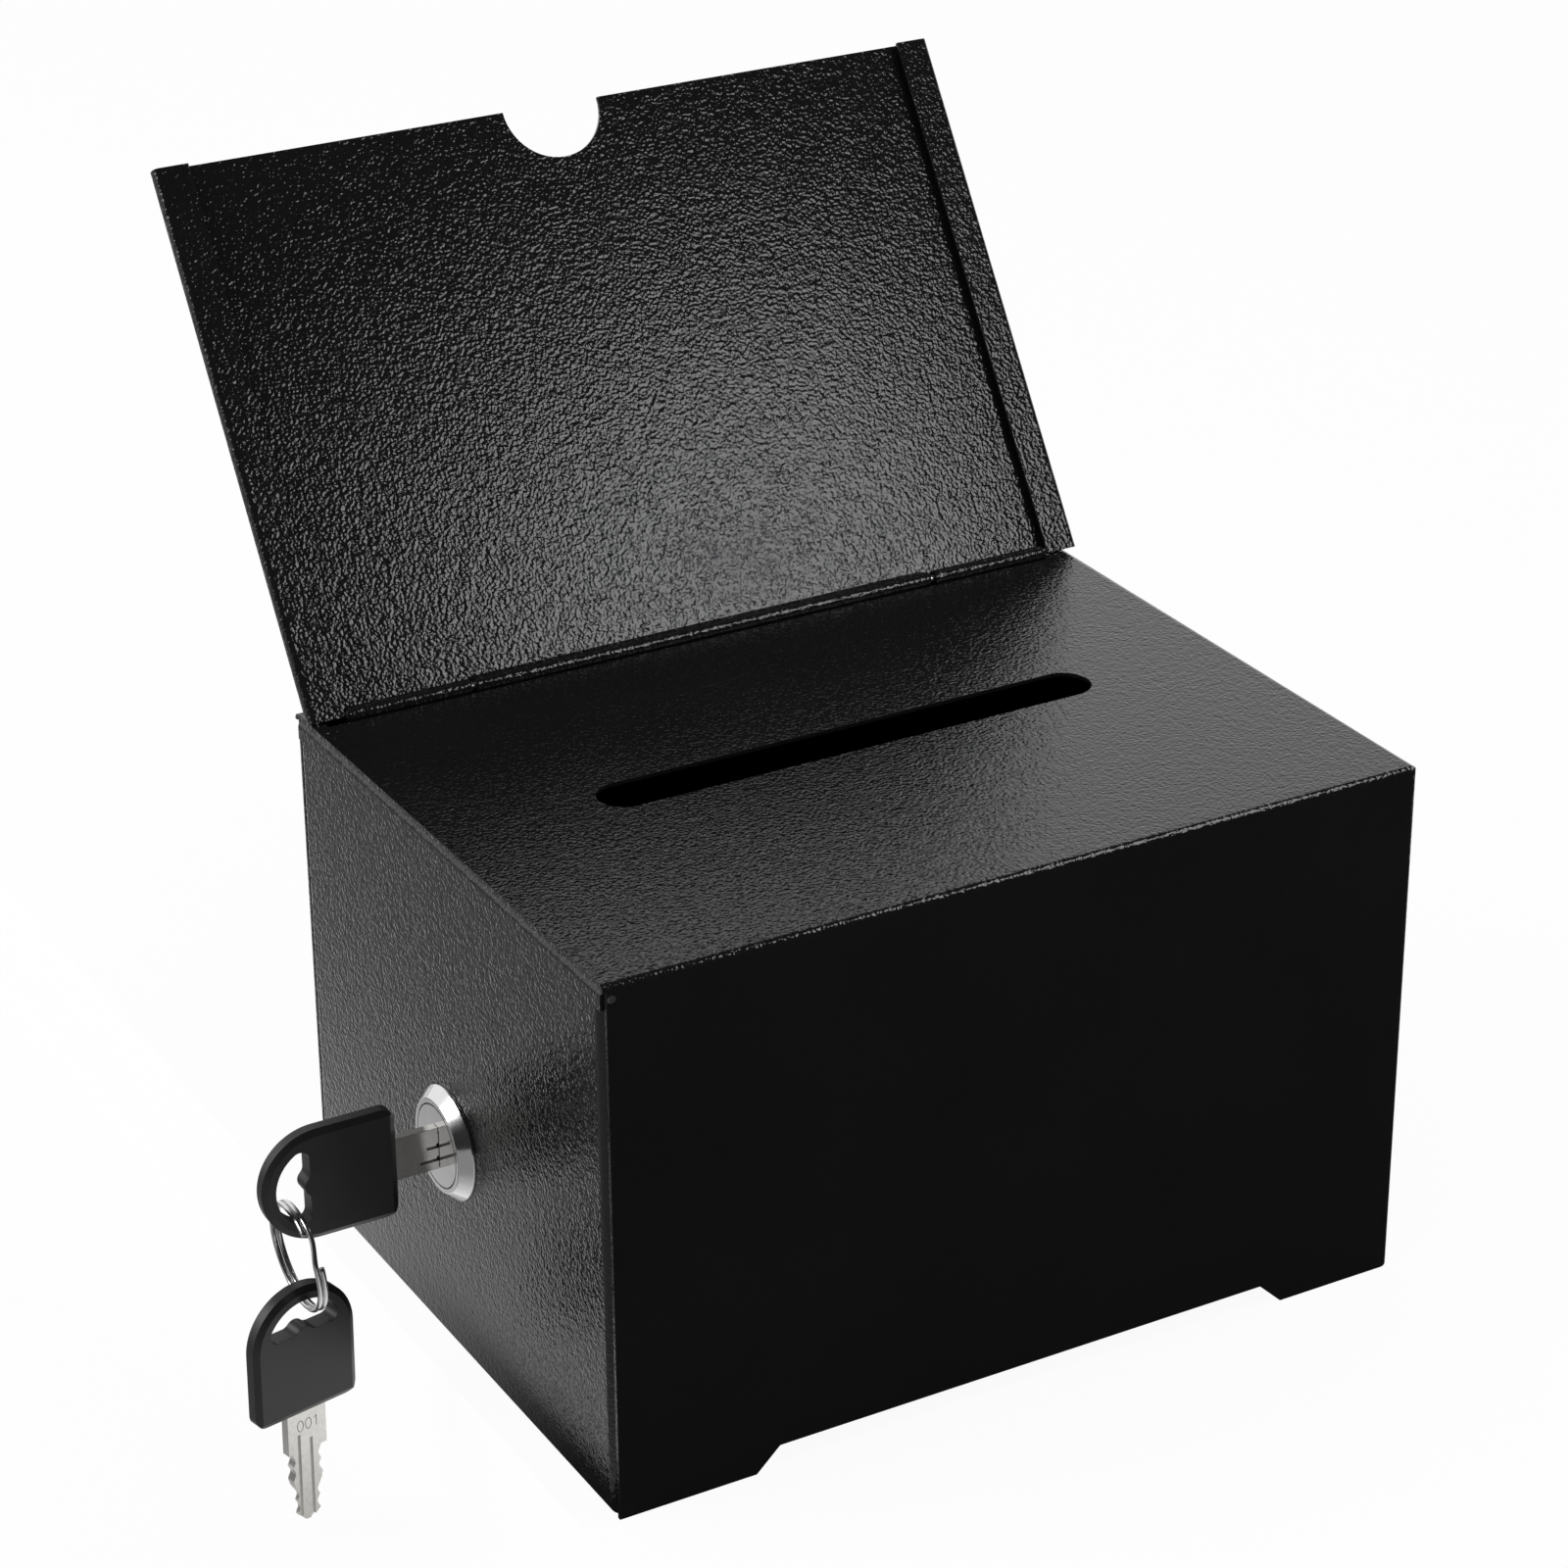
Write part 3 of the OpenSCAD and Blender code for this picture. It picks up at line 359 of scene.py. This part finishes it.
def pale_floor():
    """Pale matt floor. The camera sees it near white with the object's shadow; polished and coated
    faces mirror it as a glowing pattern of painted light and shade: painted shade in front, a painted pool of
    light beside the door, dimmer farther out."""
    f = Finish(bpy.data.materials.new("table"))
    rays = f.node("ShaderNodeLightPath")
    x, y, z = f.xyz()
    # Painted light and shade for mirror rays: the floor glows bright beside the door, fading farther out, and dark
    # in front, standing in for lamp light and shade on a studio floor.
    beside = ((x - TABLE_EDGE + SIDE_REACH) / SIDE_REACH).at_least(0).at_most(1)
    lower_floor_painted_light = (beside * beside).between(SIDE_PAINTED_DIM, SIDE_PAINTED_LIGHT)
    table_top_painted_shade = y.step(*FRONT_TO_BACK).between(FRONT_PAINTED_SHADE, 1)
    mirrored = z.step(*TABLE_FADE).between(lower_floor_painted_light, table_top_painted_shade)
    dark, light = TABLE_TONES
    color = f.tint(f.noise(TABLE_SPECK), (dark,) * 3, (light,) * 3)
    matt = f.node("ShaderNodeBsdfDiffuse", {"Color": color})
    white = f.node("ShaderNodeEmission", {"Color": (1, 1, 1, 1), "Strength": 1.0})
    unlit = f.node("ShaderNodeEmission", {"Strength": 0.0})
    painted_mirror_glow = f.mixed(mirrored, unlit, white)
    seen = f.mixed(rays.part("Is Camera Ray") * CAMERA_WHITE, matt, white)
    f.node("ShaderNodeOutputMaterial", {"Surface": f.mixed(in_mirrors(rays), seen, painted_mirror_glow)})
    return f.owner


def make_stage():
    """Table top, its short drop beside the door, and the floor below it."""
    far, edge, low = TABLE_REACH, TABLE_EDGE, LOWER_FLOOR
    mesh = bpy.data.meshes.new("table")
    mesh.from_pydata([(edge, -far, 0), (far, -far, 0), (far, far, 0), (edge, far, 0),
                      (edge, -far, low), (edge, far, low), (-far, -far, low), (-far, far, low)],
                     [], [(0, 1, 2, 3), (0, 3, 5, 4), (6, 4, 5, 7)])
    mesh.materials.append(pale_floor())
    link(bpy.data.objects.new("table", mesh))


def soft_light(name, at, target, size, power):
    data = bpy.data.lights.new(name, "AREA")
    data.shape = "SQUARE"
    data.size = size
    data.energy = power
    lamp = link(bpy.data.objects.new(name, data))
    lamp.location = at
    lamp.rotation_mode = "QUATERNION"
    lamp.rotation_quaternion = (Vector(target) - Vector(at)).to_track_quat("-Z", "Y")


# Pieces

def joint_place(name):
    return Vector(next(joint["pos_m"] for joint in frame["joints"] if joint["name"] == name))


def new_piece(name, mesh, node, material, in_its_place=True):
    """Puts a finished mesh in the scene, in place of a CAD node or beside it."""
    mesh.materials.append(material)
    piece = link(bpy.data.objects.new(name, mesh))
    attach(piece, BODY_OF[node])
    if in_its_place:
        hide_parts(node)


def clean_copy(node):
    """The node's solid as a joined mesh, with its flat faces made whole."""
    work = bmesh.new()
    work.from_mesh(NODES[node].data)
    bmesh.ops.remove_doubles(work, verts=work.verts, dist=WELD_DISTANCE)
    bmesh.ops.dissolve_limit(work, angle_limit=FLAT_ANGLE, verts=work.verts, edges=work.edges)
    mesh = bpy.data.meshes.new(node)
    work.to_mesh(mesh)
    work.free()
    return mesh


def smooth_fans(vert):
    """The face corners at a vertex, in groups that no sharp edge parts."""
    left = list(vert.link_loops)
    while left:
        fan, queue = [], [left.pop()]
        while queue:
            loop = queue.pop()
            fan.append(loop)
            for edge in (loop.edge, loop.link_loop_prev.edge):
                if edge.smooth and len(edge.link_faces) == 2:
                    other = next(face for face in edge.link_faces if face is not loop.face)
                    near = next(corner for corner in other.loops if corner.vert is vert)
                    if near in left:
                        left.remove(near)
                        queue.append(near)
        yield fan


def flat_faces_first(mesh):
    """Smooth shading in which the wide faces keep their own direction right up to the eased edges."""
    for face in mesh.polygons:
        face.use_smooth = True
    mesh.set_sharp_from_angle(angle=EDGE_ANGLE)
    work = bmesh.new()
    work.from_mesh(mesh)
    normals = [None] * len(mesh.loops)
    for vert in work.verts:
        for fan in smooth_fans(vert):
            total = Vector()
            for loop in fan:
                total += loop.face.normal * loop.face.calc_area()
            for loop in fan:
                normals[loop.index] = tuple(total.normalized() if total.length else loop.face.normal)
    work.free()
    mesh.normals_split_custom_set(normals)


def eased(name, node, material, width, steps=2):
    """The CAD solid with every sharp edge eased, as the coating or the tumbling leaves it."""
    blank = link(bpy.data.objects.new(name, clean_copy(node)))
    bevel = blank.modifiers.new("eased edges", "BEVEL")
    bevel.width = width
    bevel.segments = steps
    bevel.limit_method = "ANGLE"
    bevel.angle_limit = EDGE_ANGLE
    bevel.miter_outer = "MITER_ARC"
    bevel.use_clamp_overlap = True
    graph = bpy.context.evaluated_depsgraph_get()
    mesh = bpy.data.meshes.new_from_object(blank.evaluated_get(graph))
    bpy.data.objects.remove(blank)
    mesh.name = name
    flat_faces_first(mesh)
    new_piece(name, mesh, node, material)


def add_tube(work, centres, ins, outs, radius, sides):
    """Adds a closed round tube through centres; ins and outs are the two cross directions at each."""
    rings = []
    for centre, a, b in zip(centres, ins, outs):
        turns = [2 * math.pi * k / sides for k in range(sides)]
        rings.append([work.verts.new(centre + radius * (a * math.cos(t) + b * math.sin(t))) for t in turns])
    for first, second in zip(rings, rings[1:]):
        for k in range(sides):
            after = (k + 1) % sides
            work.faces.new((first[k], first[after], second[after], second[k]))
    work.faces.new(list(reversed(rings[0])))
    work.faces.new(rings[-1])


def tube_mesh(name, work):
    """The tubes of a bmesh as a mesh with round sides and flat ends."""
    bmesh.ops.recalc_face_normals(work, faces=work.faces)
    mesh = bpy.data.meshes.new(name)
    work.to_mesh(mesh)
    work.free()
    for face in mesh.polygons:
        face.use_smooth = len(face.vertices) == 4
    return mesh


def number_paths():
    """Middle lines of the strokes of 001, as places along the blade and across it."""
    sweep = 360 - 2 * ZERO_OPEN
    turns = [math.radians(ZERO_OPEN + sweep * i / ZERO_STEPS) for i in range(ZERO_STEPS + 1)]
    for middle in ZERO_PLACES:
        yield [(DIGIT_MIDDLE - DIGIT_TALL * math.cos(t), middle + DIGIT_WIDE * math.sin(t)) for t in turns]
    yield [(DIGIT_MIDDLE + DIGIT_TALL * share, ONE_PLACE) for share in (1, 0, -1)]
    yield [(DIGIT_MIDDLE - DIGIT_TALL * up, ONE_PLACE - DIGIT_WIDE * aside) for up, aside in ONE_FLAG]


def key_number(material):
    """The number 001 on the hanging key's neck, its tops towards the head."""
    through = Vector((0, 1, 0))
    work = bmesh.new()
    for path in number_paths():
        points = [Vector((along, DIGIT_SINK - KEY_HALF_THICK, across)) for along, across in path]
        runs = [after - before for before, after in zip(points[:1] + points, points[1:] + points[-1:])]
        sides = [run.normalized().cross(through) for run in runs]
        add_tube(work, points, [through] * len(points), sides, DIGIT_STROKE, DIGIT_SIDES)
    work.transform(Matrix.Translation(joint_place("spare_swing")) @ Matrix.Rotation(SPARE_YAW, 4, "Z")
                   @ Matrix.Rotation(math.radians(90) + SPARE_LEAN, 4, "Y") @ Matrix.Translation(-SPARE_EYE))
    mesh = tube_mesh("hanging_key_number", work)
    new_piece("hanging_key_number", mesh, "spare_key_blade", material, in_its_place=False)


def split_ring(material):
    """Two flat turns of wire, closer than the solid's, with one short crossing between the ends."""
    top = joint_place("ring_swing")
    tilt = Matrix.Rotation(-RING_TILT, 3, "Y")
    sweep = 720 - 2 * RING_GAP_HALF
    count = int(sweep * RING_STEPS / 360)
    pitch = 2 * RING_WIRE + RING_SPACE
    centres, ins, outs = [], [], []
    for i in range(count + 1):
        degrees = RING_GAP_MIDDLE + RING_GAP_HALF + sweep * i / count
        crossing = (degrees - RING_GAP_MIDDLE - 360 + RING_GAP_HALF) / (2 * RING_GAP_HALF)
        crossing = min(1, max(0, crossing))
        side = pitch * (crossing * crossing * (3 - 2 * crossing) - 0.5)
        turn = math.radians(degrees)
        out = Vector((0, -math.cos(turn), math.sin(turn)))
        centres.append(top + tilt @ (Vector((side, 0, -RING_RADIUS)) + RING_RADIUS * out))
        ins.append(tilt @ out)
        outs.append(tilt @ Vector((1, 0, 0)))
    work = bmesh.new()
    add_tube(work, centres, ins, outs, RING_WIRE, RING_SIDES)
    new_piece("split_ring_wire", tube_mesh("split_ring_wire", work), "split_ring", material)


bpy.context.scene.view_settings.view_transform = "Standard"

make_camera()
make_world()
make_stage()
soft_light("front_softbox", at=(0.168, -0.183, 0.306), target=(0.01, 0.06, 0.11), size=0.14, power=0.3)
soft_light("left_softbox", at=(-0.9, 0.35, 0.75), target=(0, 0, 0.05), size=0.6, power=6)

COAT = powder_coat()
ZINC = zinc_plate()
TRIM = bright_trim()
BRASS = lock_brass()
WIRE = spring_wire()
KEY = key_metal()
HEAD = key_plastic()
STAMP_SHADE = stamped_groove_shade()

eased("box_shell", "body_shell", COAT, SHEET_EASE)
eased("box_floor", "bottom_plate", COAT, SHEET_EASE)
eased("strike", "strike_bracket", COAT, SHEET_EASE)
eased("sign_holder", "header_panel", COAT, SHEET_EASE)
eased("sign_holder_hinge", "header_hinge_leaf", COAT, 0.12 * MM)
eased("end_door", "door_panel", COAT, SHEET_EASE)
eased("sign_holder_pin", "header_hinge_pin", ZINC, 0.1 * MM)
eased("door_pin", "door_hinge_pin", ZINC, 0.12 * MM)
eased("lock_trim_ring", "lock_trim_cap", TRIM, 0.12 * MM)
eased("plug_face", "plug_cap", TRIM, 0.1 * MM)
eased("lock_housing", "lock_body", ZINC, 0.12 * MM)
eased("lock_ring_nut", "lock_nut", ZINC, 0.25 * MM)
eased("lock_wide_washer", "lock_washer", ZINC, 0.08 * MM)
eased("lock_cam", "cam", ZINC, 0.15 * MM)
eased("lock_cam_washer", "cam_washer", ZINC, 0.08 * MM)
eased("lock_cam_screw", "cam_screw", ZINC, 0.2 * MM)
eased("quarter_turn_washer", "stop_washer", ZINC, 0.06 * MM)
eased("held_key_blade", "key_blade", KEY, KEY_EASE)
eased("held_key_head", "key_head", HEAD, HEAD_EASE, steps=3)
eased("hanging_key_blade", "spare_key_blade", KEY, KEY_EASE)
# The strokes of the number carry painted shade in place of the shade of their stamped grooves.
key_number(STAMP_SHADE)
eased("hanging_key_head", "spare_key_head", HEAD, HEAD_EASE, steps=3)
split_ring(WIRE)

for node, material in (("lock_plug", BRASS), ("wafers", BRASS), ("wafer_springs", WIRE)):
    NODES[node].data.materials.clear()
    NODES[node].data.materials.append(material)
